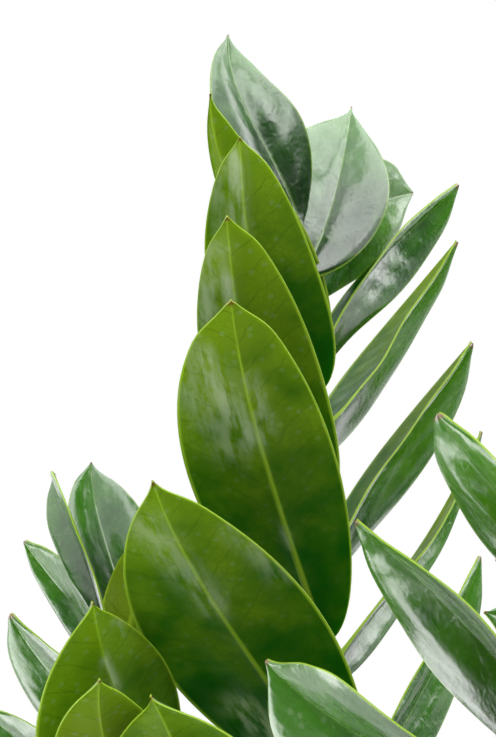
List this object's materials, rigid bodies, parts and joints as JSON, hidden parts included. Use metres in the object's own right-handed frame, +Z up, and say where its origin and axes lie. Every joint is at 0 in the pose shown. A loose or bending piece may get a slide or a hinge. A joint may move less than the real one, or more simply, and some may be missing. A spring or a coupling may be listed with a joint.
{
  "type": "potted zz plant",
  "caption": "Potted ZZ plant: tall and arching fronds of glossy oval leaflets that stand in a plain round pot of soil.",
  "frame": {"origin": "middle of the flat underside of the pot", "axes": "+Z up along the plant's height, -Y towards the front that the picture shows, +X to the right of it"},
  "size_m": [0.3707, 0.4147, 0.5613],
  "materials": {
    "pot_glaze": "satin",
    "potting_soil": "matte",
    "leaf": "gloss"
  },
  "bodies": {
    "root": {"pot": "pot_glaze", "soil": "potting_soil", "frond_upright": "leaf", "frond_left": "leaf", "frond_front": "leaf", "frond_backRight": "leaf", "frond_right": "leaf", "frond_backLeft": "leaf", "frond_frontRight": "leaf", "frond_frontLeft": "leaf", "frond_back": "leaf"}
  },
  "joints": []
}
